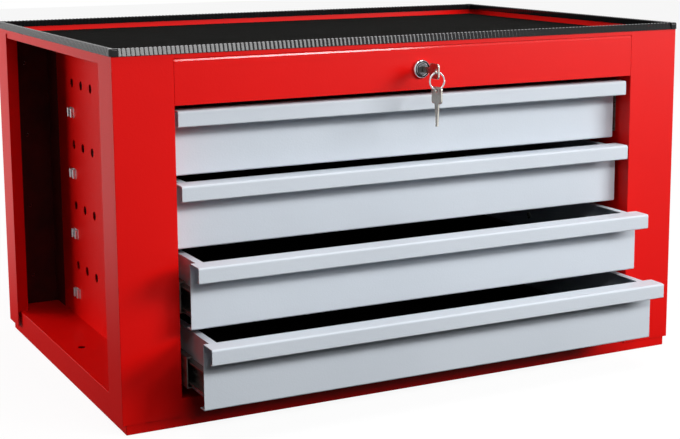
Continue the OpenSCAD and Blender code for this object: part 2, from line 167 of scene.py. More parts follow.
soft_box("overhead_box", (0.48, -0.36, 1.65), (-0.10, -0.2, 0.38), (0.60, 0.30), 6)
soft_box("strip_box", (-0.40, -0.45, 1.65), (-0.20, -0.2, 0.38), (0.50, 0.22), 4)
soft_box("key_box", (-0.02, -1.95, 1.24), (-0.10, -0.2, 0.36), (1.40, 0.25), 15.5)
soft_box("facet_box", (0.82, -1.95, 1.54), (0.0, -0.2, 0.36), (0.66, 0.14), 4.5)
right_box = soft_box("right_box", (1.75, -1.95, 1.17), (0.1, -0.2, 0.25), (1.2, 0.7), 51)
sheen_box = soft_box("sheen_box", (1.75, -1.95, 0.64), (0.1, -0.2, 0.30), (1.2, 0.4), 28)
left_box = soft_box("left_box", (-1.70, 1.70, 0.60), (-0.3, 0.0, 0.2), (1.4, 0.8), 46)
rear_box = soft_box("rear_box", (1.70, 2.10, 1.30), (0.0, 0.2, 0.2), (1.2, 1.0), 20)
sheen_box.visible_diffuse = False
for lamp in (right_box, left_box, rear_box):
    lamp.visible_glossy = False

# %% [markdown]
# The floor glows for the camera, so it is as white as the room. The chest keeps its own light from the
# floor next to it: mirrored rays find it dim there and white from a metre on, and under the base it is
# dark.

# %% Floor
FLOOR_SIZE, FLOOR_DROP = 14, 0.3 * MM
PAPER_BOUNCE, PAPER_SEEN, GLOW = 0.02, 0.10, 0.92
SHADE_START, SHADE_END, SHADE_LEVEL = 0.42, 1.05, 0.1
BASE_INSET = 15 * MM

bpy.ops.mesh.primitive_plane_add(size=FLOOR_SIZE, location=(0, 0, -FLOOR_DROP))
floor = bpy.context.object
floor.name = "white_sweep"
floor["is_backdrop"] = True
sweep = bpy.data.materials.new("white_sweep")
sweep.use_nodes = True
tree = sweep.node_tree
tree.nodes.clear()
ray = tree.nodes.new("ShaderNodeLightPath").outputs
place = tree.nodes.new("ShaderNodeTexCoord").outputs["Object"]

paper = tree.nodes.new("ShaderNodeMixShader")
for socket, grey in ((1, PAPER_BOUNCE), (2, PAPER_SEEN)):
    sheet_of_paper = tree.nodes.new("ShaderNodeBsdfDiffuse")
    sheet_of_paper.inputs["Color"].default_value = (grey, grey, grey, 1)
    tree.links.new(sheet_of_paper.outputs[0], paper.inputs[socket])
tree.links.new(ray["Is Camera Ray"], paper.inputs["Fac"])

distance = tree.nodes.new("ShaderNodeVectorMath")
distance.operation = "LENGTH"
tree.links.new(place, distance.inputs[0])
own_shadow = tree.nodes.new("ShaderNodeMapRange")
for socket, value in (("From Min", SHADE_START), ("From Max", SHADE_END),
                      ("To Min", SHADE_LEVEL), ("To Max", 1.0)):
    own_shadow.inputs[socket].default_value = value
tree.links.new(distance.outputs["Value"], own_shadow.inputs["Value"])
mirrored = maths(tree, "MULTIPLY", own_shadow.outputs[0], ray["Is Glossy Ray"])

across = tree.nodes.new("ShaderNodeSeparateXYZ")
tree.links.new(place, across.inputs[0])
beside = []
for axis, half in (("X", cad_bounds[1][0]), ("Y", cad_bounds[1][1])):
    way_out = maths(tree, "ABSOLUTE", across.outputs[axis], 0)
    beside.append(maths(tree, "GREATER_THAN", way_out, half - BASE_INSET))
clear_of_chest = maths(tree, "MAXIMUM", *beside)

seen = maths(tree, "MAXIMUM", ray["Is Camera Ray"], ray["Is Transmission Ray"])
in_view = maths(tree, "MULTIPLY", clear_of_chest, maths(tree, "MAXIMUM", seen, mirrored))
glow = tree.nodes.new("ShaderNodeEmission")
glow.inputs["Color"].default_value = (1, 1, 1, 1)
tree.links.new(maths(tree, "MULTIPLY", in_view, GLOW), glow.inputs["Strength"])
both = tree.nodes.new("ShaderNodeAddShader")
tree.links.new(paper.outputs[0], both.inputs[0])
tree.links.new(glow.outputs[0], both.inputs[1])
out = tree.nodes.new("ShaderNodeOutputMaterial")
tree.links.new(both.outputs[0], out.inputs["Surface"])
floor.data.materials.append(sweep)
print("floor at", round(floor.location.z / MM, 2), "mm")


# %% [markdown]
# ## Finishes
# Every finish starts from a Principled shader whose fixed numbers are set on its sockets. Noise in
# Object coordinates then adds what the real surface has: the orange peel of powder coat, the fine
# grain of rubber, the streaks of drawn steel. Object coordinates are metres here, so a noise scale of
# 500 means grains of about two millimetres.

# %% Material helpers
def finish(name, colour, roughness, metallic=0.0, specular=0.5):
    material = bpy.data.materials.new(name)
    material.use_nodes = True
    shader = material.node_tree.nodes["Principled BSDF"]
    shader.inputs["Base Color"].default_value = (*colour, 1)
    shader.inputs["Roughness"].default_value = roughness
    shader.inputs["Metallic"].default_value = metallic
    shader.inputs["Specular IOR Level"].default_value = specular
    return material


def grain(material, scale, stretch=(1, 1, 1), detail=3.0):
    nodes, links = material.node_tree.nodes, material.node_tree.links
    place = nodes.new("ShaderNodeTexCoord")
    mapping = nodes.new("ShaderNodeMapping")
    mapping.inputs["Scale"].default_value = stretch
    noise = nodes.new("ShaderNodeTexNoise")
    noise.inputs["Scale"].default_value = scale
    noise.inputs["Detail"].default_value = detail
    links.new(place.outputs["Object"], mapping.inputs["Vector"])
    links.new(mapping.outputs["Vector"], noise.inputs["Vector"])
    return noise.outputs["Fac"]


def between(material, factor, low, high, socket):
    """Runs a socket of the shader from low to high with a 0 to 1 pattern."""
    nodes, links = material.node_tree.nodes, material.node_tree.links
    ramp = nodes.new("ShaderNodeValToRGB")
    ramp.color_ramp.elements[0].position = 0.3
    ramp.color_ramp.elements[1].position = 0.7
    as_colour = lambda v: (*v, 1) if hasattr(v, "__len__") else (v, v, v, 1)
    ramp.color_ramp.elements[0].color = as_colour(low)
    ramp.color_ramp.elements[1].color = as_colour(high)
    links.new(factor, ramp.inputs["Fac"])
    links.new(ramp.outputs["Color"], nodes["Principled BSDF"].inputs[socket])


def bumps(material, height, depth, strength=1.0):
    nodes, links = material.node_tree.nodes, material.node_tree.links
    bump = nodes.new("ShaderNodeBump")
    bump.inputs["Strength"].default_value = strength
    bump.inputs["Distance"].default_value = depth
    links.new(height, bump.inputs["Height"])
    links.new(bump.outputs["Normal"], nodes["Principled BSDF"].inputs["Normal"])


# %% Paints
red_paint = finish("red_powder_coat", (0.74, 0.003, 0.002), 0.36, specular=0.16)
between(red_paint, grain(red_paint, 7.0), (0.72, 0.0026, 0.0017), (0.76, 0.0036, 0.0024), "Base Color")
between(red_paint, grain(red_paint, 900.0), 0.36, 0.46, "Roughness")
bumps(red_paint, grain(red_paint, 700.0, detail=1.5), 0.0001)

gloss_edge = finish("red_gloss_edge", (0.74, 0.003, 0.002), 0.10, specular=0.6)
between(gloss_edge, grain(gloss_edge, 60.0), 0.09, 0.11, "Roughness")

# Near-black red: painted shade for the deep hollow inside the posts and the holes of the screws.
painted_shade_coat = finish("painted_shade_inside", (0.05, 0.003, 0.002), 0.6, specular=0.15)
between(painted_shade_coat, grain(painted_shade_coat, 30.0), (0.030, 0.002, 0.0015), (0.065, 0.004, 0.003), "Base Color")

grey_paint = finish("blue_grey_powder_coat", (0.62, 0.67, 0.73), 0.42, specular=0.18)
between(grey_paint, grain(grey_paint, 6.0), (0.605, 0.655, 0.715), (0.645, 0.695, 0.755), "Base Color")
between(grey_paint, grain(grey_paint, 900.0), 0.38, 0.46, "Roughness")
bumps(grey_paint, grain(grey_paint, 620.0, detail=1.5), 0.00010)

# %% Rubber
trim_rubber = finish("edge_trim_rubber", (0.006, 0.006, 0.0065), 0.08, specular=0.28)
between(trim_rubber, grain(trim_rubber, 300.0), 0.06, 0.11, "Roughness")
bumps(trim_rubber, grain(trim_rubber, 1500.0), 0.000008)

mat_rubber = finish("ribbed_mat_rubber", (0.0075, 0.0075, 0.007), 1.0, specular=0.02)
between(mat_rubber, grain(mat_rubber, 60.0), (0.006, 0.006, 0.0055), (0.009, 0.009, 0.0085), "Base Color")
bumps(mat_rubber, grain(mat_rubber, 1200.0), 0.0001)

# %% Metals
zinc = finish("bright_zinc", (0.72, 0.73, 0.75), 0.3, metallic=1.0)
between(zinc, grain(zinc, 90.0), 0.22, 0.4, "Roughness")
slide_steel = finish("dark_slide_steel", (0.26, 0.25, 0.24), 0.34, metallic=1.0)
DRAWN = (8, 1, 8)
between(slide_steel, grain(slide_steel, 25.0, DRAWN), (0.16, 0.145, 0.13), (0.30, 0.29, 0.28), "Base Color")
between(slide_steel, grain(slide_steel, 140.0, DRAWN), 0.26, 0.44, "Roughness")
# Near-black steel on the plug's face: painted shade of the recessed keyway.
lock_steel = finish("turned_lock_steel", (0.10, 0.10, 0.105), 0.3, metallic=1.0)
between(lock_steel, grain(lock_steel, 900.0), 0.22, 0.4, "Roughness")
# Near-black steel: painted shade in the bezel's ring groove.
groove_shade_steel = finish("painted_shade_groove_steel", (0.015, 0.015, 0.016), 0.45, metallic=1.0)
between(groove_shade_steel, grain(groove_shade_steel, 700.0), 0.38, 0.55, "Roughness")
chrome = finish("bezel_chrome", (0.60, 0.61, 0.63), 0.09, metallic=1.0)
between(chrome, grain(chrome, 120.0), 0.06, 0.14, "Roughness")
key_metal = finish("nickel_key", (0.42, 0.41, 0.37), 0.26, metallic=1.0)
between(key_metal, grain(key_metal, 500.0, (1, 1, 6)), 0.2, 0.36, "Roughness")
print("materials:", [m.name for m in bpy.data.materials if m.use_nodes])

SLOT_FINISH = {"red_paint": red_paint, "grey_paint": grey_paint, "rubber_trim": trim_rubber,
               "rubber_mat": mat_rubber, "zinc": zinc, "slide_steel": slide_steel,
               "lock_steel": lock_steel, "key_metal": key_metal, "chrome": chrome}
node_slot = {part["node"]: part["material_slot"] for part in frame["record"]["subparts"]}
for name, obj in NODE.items():
    obj.data.materials.clear()
    obj.data.materials.append(SLOT_FINISH[node_slot[name]])

# %% [markdown]
# ## Working by hand, in code
# A mouse user selects something, then calls a tool. The helpers below do the same: one makes a single
# object active, one opens it in edit mode and selects faces, edges or points by a test of their place,
# and one applies a modifier. An operator acts on all that is selected, so every helper clears the
# selection first.

# %% Selection helpers
def only(obj):
    if bpy.context.object and bpy.context.object.mode != "OBJECT":
        bpy.ops.object.mode_set(mode="OBJECT")
    bpy.ops.object.select_all(action="DESELECT")
    obj.select_set(True)
    bpy.context.view_layer.objects.active = obj


def pick(obj, kind, test):
    """Opens obj in edit mode and selects its VERT, EDGE or FACE parts that pass the test."""
    only(obj)
    bpy.ops.object.mode_set(mode="EDIT")
    bpy.ops.mesh.select_mode(type=kind)
    bpy.ops.mesh.select_all(action="DESELECT")
    mesh = bmesh.from_edit_mesh(obj.data)
    for part in {"VERT": mesh.verts, "EDGE": mesh.edges, "FACE": mesh.faces}[kind]:
        if test(part):
            part.select_set(True)
    mesh.select_flush_mode()
    bmesh.update_edit_mesh(obj.data)


def middle(part):
    """Centre of an edge or a face."""
    return sum((v.co for v in part.verts), Vector()) / len(part.verts)


def near(value, place, room=0.1 * MM):
    return abs(value - place) < room


def use_modifier(obj, kind, **settings):
    only(obj)
    modifier = obj.modifiers.new(kind.lower(), kind)
    for key, value in settings.items():
        setattr(modifier, key, value)
    bpy.ops.object.modifier_apply(modifier=modifier.name)


def smooth_over(obj, degrees=35):
    """Smooth shading that leaves wide flat faces flat."""
    only(obj)
    bpy.ops.object.shade_smooth_by_angle(angle=math.radians(degrees))
    use_modifier(obj, "WEIGHTED_NORMAL", keep_sharp=True)


def copied(obj, name, move=(0, 0, 0)):
    only(obj)
    bpy.ops.object.duplicate(linked=False)
    twin = bpy.context.object
    twin.name = twin.data.name = name
    bpy.ops.transform.translate(value=move)
    bpy.ops.object.transform_apply(location=True, rotation=True, scale=True)
    return twin


def named(name):
    obj = bpy.context.object
    obj.name = obj.data.name = name
    bpy.ops.object.transform_apply(location=True, rotation=True, scale=True)
    return obj


body_of = {node: body for body, nodes in frame["record"]["behaviour"]["bodies"].items() for node in nodes}


def dress(obj, material, node, stands_for=True):
    """Gives a piece its finish and the body of a CAD node, and hides the node when the piece stands for it."""
    if material:
        obj.data.materials.clear()
        obj.data.materials.append(material)
    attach(obj, body_of[node])
    if stands_for:
        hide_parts(node)


def second_finish(obj, material, test):
    """Gives the faces that pass the test a finish of their own."""
    obj.data.materials.append(material)
    for face in obj.data.polygons:
        face.material_index = 1 if test(face) else 0
    print(obj.name, sum(face.material_index for face in obj.data.polygons), "faces in", material.name)


print("bodies:", sorted(set(body_of.values())))


# %% [markdown]
# ## Folded sheet
# The cabinet is sheet steel, 1.2 mm thick. A press brake leaves a round bend of a millimetre or two on
# every fold, and the paint softens the cut edges a little. Those bends catch the light as thin bright
# lines, and without them a sheet looks like a paper model. The CAD sheets have sharp corners, so we
# copy each one, merge its loose triangles into clean faces, and bevel it with weights: wide outside
# bends get the full radius, inside bends what the sheet leaves of it, and cut edges a fine break.

# %% Sheet helpers
SHEET = 1.2 * MM
SHARP = math.radians(30)


def width_beside(edge, face):
    """Width of a face beside one of its edges, up to the next sharp edge across it."""
    start, along = edge.verts[0].co, (edge.verts[1].co - edge.verts[0].co)
    across = face.normal.cross(along).normalized()
    widths = []
    for share in (0.25, 0.5, 0.75):
        point = start + along * share
        if sum((v.co - point).dot(across) > 0.001 * MM for v in face.verts) == 0:
            across = -across
        near = math.inf
        for other in face.edges:
            if other is edge or other.calc_face_angle(0) < SHARP:
                continue
            p, q = (v.co - point for v in other.verts)
            ps, qs = p.dot(along), q.dot(along)
            if ps * qs < 0:
                reach = (p + (q - p) * (ps / (ps - qs))).dot(across)
                near = min(near, reach) if reach > 0.001 * MM else near
        widths.append(near)
    return max(widths)


def kind_of_edge(edge, thickness):
    if len(edge.link_faces) != 2 or edge.calc_face_angle(0) < SHARP:
        return "flat"
    if not edge.is_convex:
        return "inside"
    if edge.calc_length() < 1.5 * MM:
        return "cut"
    return "cut" if min(width_beside(edge, f) for f in edge.link_faces) < 1.4 * thickness else "bend"


def clean_copy(node, name):
    obj = bpy.data.objects.new(name, NODE[node].data.copy())
    obj.data.name = name
    bpy.context.scene.collection.objects.link(obj)
    pick(obj, "VERT", lambda v: True)
    bpy.ops.mesh.remove_doubles(threshold=0.01 * MM)
    bpy.ops.mesh.dissolve_degenerate(threshold=0.01 * MM)
    bpy.ops.mesh.dissolve_limited(angle_limit=math.radians(0.5), use_dissolve_boundaries=False)
    bpy.ops.object.mode_set(mode="OBJECT")
    return obj


def round_edges(obj, bend, cut, thickness=SHEET, segments=3, special=lambda edge: None):
    """Bevels bends, inside bends and cut edges; special gives single edges a radius of their own."""
    usual = {"bend": bend, "inside": max(bend - thickness, cut), "cut": cut, "flat": 0}

    def radius(edge):
        own = special(edge)
        return usual[kind_of_edge(edge, thickness)] if own is None else own

    pick(obj, "EDGE", lambda e: True)
    radii = [radius(e) for e in bmesh.from_edit_mesh(obj.data).edges]
    for size in sorted(set(radii) - {0}):
        pick(obj, "EDGE", lambda e: radii[e.index] == size)
        bpy.ops.transform.edge_bevelweight(value=size / bend)
    bpy.ops.object.mode_set(mode="OBJECT")
    use_modifier(obj, "BEVEL", limit_method="WEIGHT", width=bend, segments=segments, use_clamp_overlap=True,
                 loop_slide=False)


def keep_within(obj, node, room):
    """Draws points that a bevel threw out of a narrow corner back to the CAD surface."""
    use_modifier(obj, "SHRINKWRAP", target=NODE[node], wrap_mode="INSIDE", offset=-room)


def soft_copy(node, name, material, bend, cut, thickness=SHEET, segments=3):
    obj = clean_copy(node, name)
    round_edges(obj, bend, cut, thickness, segments)
    keep_within(obj, node, 0.2 * MM)
    smooth_over(obj)
    dress(obj, material, node)
    print(name, len(obj.data.polygons), "faces")
    return obj


# %% Cabinet sheets
BEND, CUT = 1.8 * MM, 0.3 * MM
for node in ("inner_panel_left", "inner_panel_right", "base_pan", "back_panel"):
    soft_copy(node, node + "_sheet", red_paint, BEND, CUT)

# %% [markdown]
# Above the header the two posts and the tray's front rail are one strip: their butt joints are welded
# and ground flush before painting. So the rail's ends are moved up to the posts, and the edges of that
# joint stay sharp, which makes the line vanish under the paint. The header's upper edge has a narrow
# glossy facet that draws a bright line; its lower edge is marked sharp, or smooth shading would blur it.
# The hollow insides of the posts, where the light hardly reaches, get a near-black coat: painted shade.

# %% Posts and top tray
WELD_GAP = 0.4 * MM
FACET_START, FACET_H, FACET_D, FACET_BREAK = 1.0 * MM, 1.6 * MM, 0.58 * MM, 0.12 * MM
LONG_EDGE = 100 * MM
header_lo, header_hi = (Vector(c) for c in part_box("header_panel"))
post_inner, front_face, header_top = -header_lo.x, header_lo.y, header_hi.z


def at_weld(edge):
    spot = middle(edge)
    return near(abs(spot.x), post_inner) and spot.z > header_top and spot.y < front_face + 2 * SHEET


def rounding(edge):
    """The welds stay sharp, and the facet along the header's upper edge keeps its width."""
    if at_weld(edge):
        return 0
    spot = middle(edge)
    at_facet = header_top - FACET_H - 0.1 * MM < spot.z < header_top + 0.1 * MM
    at_facet = at_facet and spot.y < front_face + FACET_D + 0.1 * MM
    if at_facet and edge.calc_length() > LONG_EDGE:
        return FACET_BREAK if near(spot.z, header_top) else 0
    return None


def stretch_rail(sheet):
    """Moves the ends of the tray's front rail up to the posts."""
    in_rail = lambda v: v.co.y < front_face + SHEET / 2
    rail_half = max(v.co.x for v in sheet.data.vertices if in_rail(v))
    pick(sheet, "VERT", in_rail)
    bpy.ops.transform.resize(value=(post_inner / rail_half, 1, 1), center_override=(0, 0, 0))


def cut_facet(sheet):
    """Bevels the header's upper front edge and gives the bevel its height and depth."""
    corner = lambda part, y, z, room: near(part.y, front_face + y, room) and near(part.z, header_top - z, room)
    pick(sheet, "EDGE", lambda e: corner(middle(e), 0, 0, 0.1 * MM))
    bpy.ops.mesh.bevel(offset=FACET_START, segments=1)
    pick(sheet, "VERT", lambda v: corner(v.co, 0, FACET_START, 0.05 * MM))
    bpy.ops.transform.translate(value=(0, 0, FACET_START - FACET_H))
    pick(sheet, "VERT", lambda v: corner(v.co, FACET_START, 0, 0.05 * MM))
    bpy.ops.transform.translate(value=(0, FACET_D - FACET_START, 0))


def on_facet_foot(v):
    return near(v.co.z, header_top - FACET_H, 0.02 * MM) and v.co.y < front_face + 0.1 * MM


for node in ("side_frame_left", "side_frame_right", "header_panel", "top_tray"):
    sheet = clean_copy(node, node + "_sheet")
    if node == "top_tray":
        stretch_rail(sheet)
    if node == "header_panel":
        cut_facet(sheet)
    round_edges(sheet, BEND, CUT, special=rounding)
    keep_within(sheet, node, WELD_GAP if node == "top_tray" else 0.2 * MM)
    if node == "header_panel":
        pick(sheet, "EDGE", lambda e: all(on_facet_foot(v) for v in e.verts))
        bpy.ops.mesh.mark_sharp()
    smooth_over(sheet)
    dress(sheet, red_paint, node)
    print(sheet.name, len(sheet.data.polygons), "faces")

# %% Glossy facet on the header, painted shade inside the posts
SIDE_FOLD, POST_REACH = 3.2 * MM, 184 * MM
side_face = cad_bounds[1][0]


def in_facet(face):
    leaning = 0.05 < face.normal.z < 0.99 and face.normal.y < -0.1
    return leaning and face.center.z > header_top - FACET_H - 0.1 * MM


def shaded_inside_post(face):
    x, y = abs(face.center.x), abs(face.center.y)
    return post_inner + 0.1 * MM < x < side_face - SIDE_FOLD and POST_REACH < y < -front_face - SHEET / 2


second_finish(bpy.data.objects["header_panel_sheet"], gloss_edge, in_facet)
# The faces inside the posts get the painted shade.
for node in ("side_frame_left", "side_frame_right"):
    second_finish(bpy.data.objects[node + "_sheet"], painted_shade_coat, shaded_inside_post)

# %% [markdown]
# The drawer boxes are thinner sheet and painted grey. One tray is dressed, and the others are copies
# that are moved to the places of their CAD nodes.

# %% Drawer trays
DRAWER_SHEET, TRAY_BEND, TRAY_CUT = 1.0 * MM, 1.5 * MM, 0.25 * MM


def way_between(node, other):
    """Move that brings one CAD node's place to another's."""
    return Vector(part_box(other)[0]) - Vector(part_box(node)[0])


first_tray = soft_copy("drawer_1_tray", "drawer_1_tray_sheet", grey_paint, TRAY_BEND, TRAY_CUT, DRAWER_SHEET)
for n in DRAWERS[1:]:
    tray = copied(first_tray, f"drawer_{n}_tray_sheet", way_between("drawer_1_tray", f"drawer_{n}_tray"))
    dress(tray, grey_paint, f"drawer_{n}_tray")

# %% [markdown]
# ## Drawer fronts
# A drawer front is one strip of 1 mm sheet that the press has bent four times: a return under the
# drawer, the tall face, the top of the pull lip, its drop and a small hem that keeps the edge off the
# fingers. We build it as the press would. A plane is the return; its front edge is extruded along the
# middle of the sheet, the bends are bevelled, and Solidify gives the sheet its thickness. One front is
# modelled and copied to the other drawers.

# %% Fold the first front
RETURN, LIP_DROP, LIP_HEM = 12.0 * MM, 16.3 * MM, 5.0 * MM
front_lo, front_hi = (Vector(c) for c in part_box("drawer_1_front"))
half = DRAWER_SHEET / 2
panel_mid = front_hi.y - RETURN + half
lip_mid, under_mid, top_mid = front_lo.y + half, front_lo.z + half, front_hi.z - half
bpy.ops.object.select_all(action="DESELECT")
bpy.ops.mesh.primitive_plane_add(size=1, location=(0, (front_hi.y + panel_mid) / 2, under_mid))
bpy.ops.transform.resize(value=(front_hi.x - front_lo.x, front_hi.y - panel_mid, 1))
first_front = named("drawer_1_front_sheet")
pick(first_front, "EDGE", lambda e: abs(middle(e).y - panel_mid) < half)
for step in ((0, 0, top_mid - under_mid), (0, lip_mid - panel_mid, 0), (0, 0, half - LIP_DROP + half),
             (0, LIP_HEM - half, 0)):
    bpy.ops.mesh.extrude_edges_move(TRANSFORM_OT_translate={"value": step})
bends = {"return": (panel_mid, under_mid, 1.6), "top": (panel_mid, top_mid, 1.6),
         "lip": (lip_mid, top_mid, 1.9), "hem": (lip_mid, front_hi.z - LIP_DROP + half, 1.0)}
for y, z, radius in bends.values():
    at_bend = lambda e: (middle(e).yz - Vector((y, z))).length < half / 2
    pick(first_front, "EDGE", lambda e: at_bend(e) and len(e.link_faces) == 2)
    bpy.ops.mesh.bevel(offset=radius * MM, segments=5)
bpy.ops.mesh.select_all(action="SELECT")
bpy.ops.mesh.normals_make_consistent(inside=False)
bpy.ops.object.mode_set(mode="OBJECT")
use_modifier(first_front, "SOLIDIFY", thickness=DRAWER_SHEET, offset=0, use_even_offset=True)
use_modifier(first_front, "BEVEL", limit_method="ANGLE", angle_limit=math.radians(60), width=0.22 * MM,
             segments=2)
smooth_over(first_front)
print("front box:", [round(v / MM, 2) for v in first_front.dimensions])

# %% Copy the front to every drawer
fronts = {1: first_front}
for n in DRAWERS[1:]:
    move = way_between("drawer_1_front", f"drawer_{n}_front")
    fronts[n] = copied(first_front, f"drawer_{n}_front_sheet", move)
for n in DRAWERS:
    dress(fronts[n], grey_paint, f"drawer_{n}_front")


# %% [markdown]
# ## The ribbed edge trim
# A rubber profile is pushed over the rim of the top tray. The wire clips in it press soft ribs across
# it, four and a half millimetres apart, which is why it glitters under the lamp. A bump could fake the
# ribs, but they show on the outline too, so one rib is modelled and repeated with Array. The start is a
# cross-section: an outer leg, a crown and an inner leg, extruded edge by edge from one plane. Its outer
# face is leaned back, its upper inner corner is bevelled round, and four extrusions along the rim swell
# it to the crest and back.

# %% One rib, repeated along a side
TRIM_WALL, TRIM_SLOT, TRIM_LEG, TRIM_LEAN = 1.8 * MM, 2.4 * MM, 5.3 * MM, 1.5 * MM
RIB_RISE, RIB_PITCH, CORNER = 0.5 * MM, 4.55 * MM, 9.0 * MM
INNER_ROUND, CORNER_ROUND = 0.8 * MM, 2.0 * MM
trim_lo, trim_hi = (Vector(c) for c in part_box("edge_trim"))
TRIM_D = 2 * TRIM_WALL + TRIM_SLOT
CROWN = trim_hi.z - trim_lo.z - TRIM_LEG


def ribbed_stretch(name, length):
    """A stretch along +X from x = 0, its outer face on y = 0 and its foot on z = 0."""
    bpy.ops.object.select_all(action="DESELECT")
    bpy.ops.mesh.primitive_plane_add(size=1, location=(0, TRIM_WALL / 2, TRIM_LEG / 2),
                                     rotation=(math.pi / 2, 0, math.pi / 2))
    bpy.ops.transform.resize(value=(1, TRIM_WALL, TRIM_LEG))
    rib = named(name)
    at = lambda y, z: pick(rib, "EDGE", lambda e: (middle(e).yz - Vector((y, z))).length < 0.01 * MM)
    grow = lambda y, z: bpy.ops.mesh.extrude_edges_move(TRANSFORM_OT_translate={"value": (0, y, z)})
    at(TRIM_WALL / 2, TRIM_LEG)
    grow(0, CROWN)
    at(TRIM_WALL, TRIM_LEG + CROWN / 2)
    grow(TRIM_SLOT, 0)
    grow(TRIM_WALL, 0)
    at(TRIM_D - TRIM_WALL / 2, TRIM_LEG)
    grow(0, -TRIM_LEG)
    pick(rib, "VERT", lambda v: v.co.z > TRIM_LEG - 0.01 * MM and v.co.y < TRIM_WALL / 2)
    bpy.ops.transform.translate(value=(0, TRIM_LEAN, 0))
    pick(rib, "VERT", lambda v: v.co.z > TRIM_LEG + CROWN / 2 and v.co.y < TRIM_D / 2)
    bpy.ops.transform.translate(value=(0, TRIM_LEAN * CROWN / TRIM_LEG, 0))
    bpy.ops.mesh.select_all(action="SELECT")
    bpy.ops.mesh.dissolve_limited(angle_limit=math.radians(1))
    pick(rib, "VERT", lambda v: v.co.z > TRIM_LEG + CROWN / 2 and v.co.y > TRIM_D / 2)
    bpy.ops.mesh.bevel(affect="VERTICES", offset=INNER_ROUND, segments=3)
    shrink = ((TRIM_D - 2 * RIB_RISE) / TRIM_D, (TRIM_LEG + CROWN - RIB_RISE) / (TRIM_LEG + CROWN))
    foot = (0, TRIM_D / 2, 0)
    bpy.ops.mesh.select_all(action="SELECT")
    bpy.ops.transform.resize(value=(1, *shrink), center_override=foot)
    ribs = round(length / RIB_PITCH)
    pitch = length / ribs
    for swell in (0.5, 0.5, -0.5, -0.5):
        bpy.ops.mesh.select_mode(type="FACE")
        bpy.ops.mesh.extrude_region_move(TRANSFORM_OT_translate={"value": (pitch / 4, 0, 0)})
        bpy.ops.transform.resize(value=(1, shrink[0] ** -swell, shrink[1] ** -swell), center_override=foot)
    pick(rib, "FACE", lambda f: abs(f.normal.x) > 0.99)
    bpy.ops.mesh.delete(type="ONLY_FACE")
    bpy.ops.object.mode_set(mode="OBJECT")
    use_modifier(rib, "ARRAY", count=ribs, use_relative_offset=False, use_constant_offset=True,
                 constant_offset_displace=(pitch, 0, 0), use_merge_vertices=True, merge_threshold=0.01 * MM)
    for end in (0, length):
        pick(rib, "EDGE", lambda e: len(e.link_faces) == 1 and abs(middle(e).x - end) < 0.1 * MM)
        bpy.ops.mesh.edge_face_add()
    bpy.ops.mesh.select_all(action="SELECT")
    bpy.ops.mesh.normals_make_consistent(inside=False)
    bpy.ops.object.mode_set(mode="OBJECT")
    print(name, ribs, "ribs of", round(pitch / MM, 3), "mm,", len(rib.data.polygons), "faces")
    return rib


# %% Four sides and four corners of trim
trim_pieces = []
long_run = ribbed_stretch("edge_trim_front", trim_hi.x - trim_lo.x - 2 * CORNER)
short_run = ribbed_stretch("edge_trim_left", trim_hi.y - trim_lo.y - 2 * CORNER)
for run, name, turn, start in ((long_run, "edge_trim_front", 0, (trim_lo.x + CORNER, trim_lo.y)),
                               (long_run, "edge_trim_rear", 180, (trim_hi.x - CORNER, trim_hi.y)),
                               (short_run, "edge_trim_left", -90, (trim_lo.x, trim_hi.y - CORNER)),
                               (short_run, "edge_trim_right", 90, (trim_hi.x, trim_lo.y + CORNER))):
    ribs = copied(run, name + "_ribs")
    ribs.rotation_euler.z = math.radians(turn)
    ribs.location = (*start, trim_lo.z)
    bpy.ops.object.transform_apply(location=True, rotation=True, scale=True)
    smooth_over(ribs, 60)
    trim_pieces.append(ribs)
for run in (long_run, short_run):
    bpy.data.objects.remove(run)

on_crown = lambda e: min(v.co.z for v in e.verts) > trim_hi.z - 0.01 * MM
corner = clean_copy("edge_trim", "edge_trim_corner_fl")
pick(corner, "EDGE", lambda e: e.calc_face_angle(0) > SHARP and on_crown(e))
bpy.ops.mesh.bevel(offset=CORNER_ROUND, segments=4, loop_slide=False)
for place, normal in (((trim_lo.x + CORNER, 0, 0), (1, 0, 0)), ((0, trim_lo.y + CORNER, 0), (0, 1, 0))):
    bpy.ops.mesh.select_all(action="SELECT")
    bpy.ops.mesh.bisect(plane_co=place, plane_no=normal, use_fill=True, clear_outer=True)
bpy.ops.object.mode_set(mode="OBJECT")
for place, mirror in (("fr", (-1, 1, 1)), ("rl", (1, -1, 1)), ("rr", (-1, -1, 1))):
    twin = copied(corner, "edge_trim_corner_" + place)
    twin.scale = mirror
    bpy.ops.object.transform_apply(location=True, rotation=True, scale=True)
    pick(twin, "FACE", lambda f: True)
    bpy.ops.mesh.normals_make_consistent(inside=False)
    trim_pieces.append(twin)
trim_pieces.append(corner)
for piece in trim_pieces:
    if "corner" in piece.name:
        smooth_over(piece)
    dress(piece, trim_rubber, "edge_trim")
print("trim pieces:", [(p.name, len(p.data.polygons)) for p in trim_pieces])

# %% [markdown]
# ## The top mat
# The tray is lined with a black rubber mat. It has fine grooves from end to end, so that small parts
# don't roll, and the drawers have a coarser one. One groove is three extrusions from a narrow plane;
# Array repeats it over the depth of the mat, and the open border is pulled down to the deck and closed.

# %% Grooved mats
RIDGE, FLANK, BOTTOM = 0.6, 0.1, 0.2


